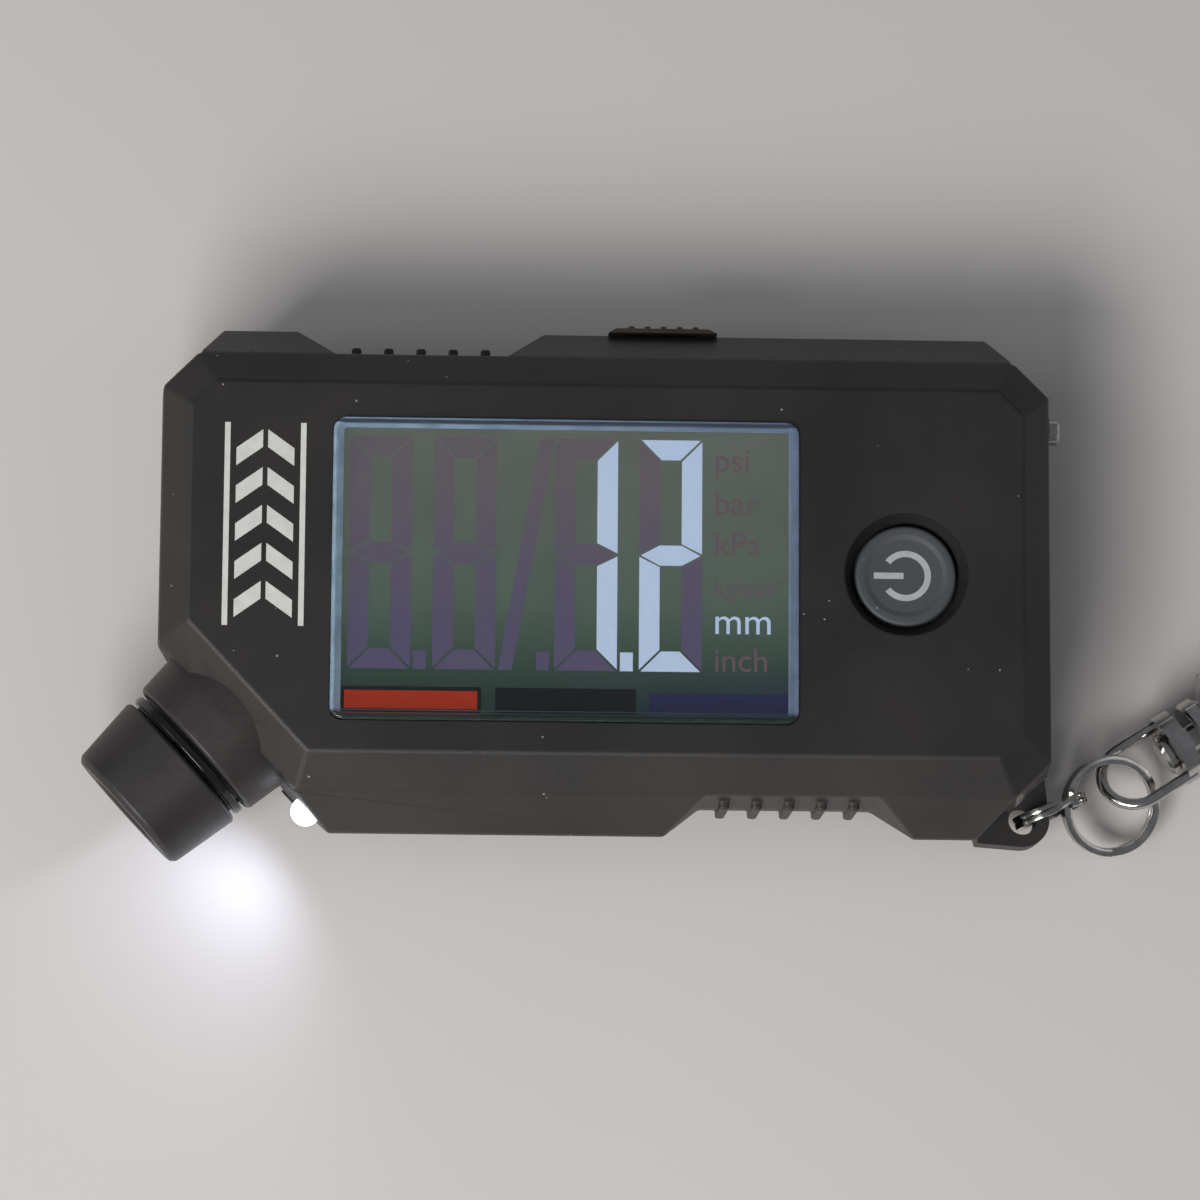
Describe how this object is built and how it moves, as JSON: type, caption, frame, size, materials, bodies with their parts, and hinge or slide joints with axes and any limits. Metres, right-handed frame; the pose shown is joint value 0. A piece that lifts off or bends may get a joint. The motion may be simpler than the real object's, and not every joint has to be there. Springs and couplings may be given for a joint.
{
  "type": "tire tread gauge",
  "caption": "Pocket digital tyre gauge with sliding steel tread probe, lit screen, power button, angled valve chuck, lamp and key-ring swivel clasp.",
  "frame": {"origin": "centre of the flat back face, which rests on the table", "axes": "+X along the body towards the probe tip, +Y towards the thumb slider, +Z out of the screen"},
  "size_m": [0.1318, 0.0556, 0.0204],
  "materials": {
    "black_shell": "fine spark-eroded moulded texture",
    "slider_black": "moulded, smooth",
    "chuck_black": "fine moulded texture",
    "gloss_black": "glossy",
    "clear_lens": "clear acrylic window, polished",
    "lcd_panel": "dark negative liquid crystal panel",
    "white_diffuser": "milky diffuser",
    "frame_grey": "moulded",
    "board_green": "solder mask",
    "chip_black": "moulded package",
    "track_carbon": "printed carbon",
    "button_grey": "soft satin",
    "plunger_black": "moulded",
    "carriage_white": "moulded acetal",
    "probe_steel": "ground",
    "spring_steel": "plated",
    "screw_black": "black zinc",
    "chrome": "bright nickel plate",
    "brass": "turned",
    "seal_rubber": "moulded",
    "tube_silicone": "translucent silicone",
    "cell_jacket": "plain printed sleeve, no lettering",
    "lamp_clear": "clear epoxy lens, lit"
  },
  "bodies": {
    "root": {"front_shell": "black_shell", "back_shell": "black_shell", "battery_door": "black_shell", "case_screws": "screw_black", "battery_door_screw": "screw_black", "battery_cells": "cell_jacket", "battery_contact_plates": "spring_steel", "battery_springs": "spring_steel", "screen_lens": "clear_lens", "lcd_glass": "lcd_panel", "lcd_backlight": "white_diffuser", "screen_frame": "frame_grey", "main_board": "board_green", "board_chips": "chip_black", "depth_track": "track_carbon", "tact_switch": "chip_black", "probe_bush": "slider_black", "chuck_collar": "chuck_black", "chuck_ring": "gloss_black", "chuck_head": "chuck_black", "valve_seal": "seal_rubber", "valve_depressor": "brass", "air_stem": "brass", "pressure_sensor": "chip_black", "air_tube": "tube_silicone", "lamp": "lamp_clear", "lamp_leads": "spring_steel"},
    "button": {"power_button": "button_grey", "switch_plunger": "plunger_black"},
    "probe": {"tread_slider": "slider_black", "probe_carriage": "carriage_white", "tread_probe": "probe_steel", "wiper_contact": "spring_steel"},
    "small_ring": {"small_split_ring": "chrome"},
    "large_ring": {"large_split_ring": "chrome"},
    "bow": {"swivel_bow": "chrome"},
    "hook": {"swivel_rivet": "chrome", "hook_body": "chrome", "trigger_pin": "chrome", "trigger_spring": "spring_steel"},
    "trigger": {"hook_trigger": "chrome"}
  },
  "joints": [
    {"name": "power_button_press", "type": "slide", "parent": "root", "child": "button", "axis": [0, 0, -1], "range_m": [0, 0.0006], "stiffness_N_per_m": 800, "springref_m": -0.001},
    {"name": "tread_probe_slide", "type": "slide", "parent": "root", "child": "probe", "axis": [1, 0, 0], "range_m": [-0.0012, 0.0147]},
    {"name": "small_ring_swing", "type": "hinge", "parent": "root", "child": "small_ring", "pos_m": [0.0431, -0.0234, 0.0054], "axis": [0, 0, 1], "range_deg": [-110, 8]},
    {"name": "large_ring_lift", "type": "hinge", "parent": "small_ring", "child": "large_ring", "pos_m": [0.04618, -0.02222, 0.0054], "axis": [0.3584, -0.9336, 0], "range_deg": [0, 45]},
    {"name": "bow_swing", "type": "hinge", "parent": "large_ring", "child": "bow", "pos_m": [0.05268, -0.02132, 0.00315], "axis": [0.2185, -0.2185, 0.9511], "range_deg": [-60, 10]},
    {"name": "clasp_swivel", "type": "hinge", "parent": "bow", "child": "hook", "pos_m": [0.0595, -0.0153, 0.004], "axis": [0.8387, 0.5446, 0], "continuous": true},
    {"name": "hook_trigger_press", "type": "hinge", "parent": "hook", "child": "trigger", "pos_m": [0.06375, -0.00789, 0.004], "axis": [0, 0, -1], "range_deg": [0, 25], "stiffness_Nm_per_rad": 0.002, "springref_deg": -17.19}
  ]
}
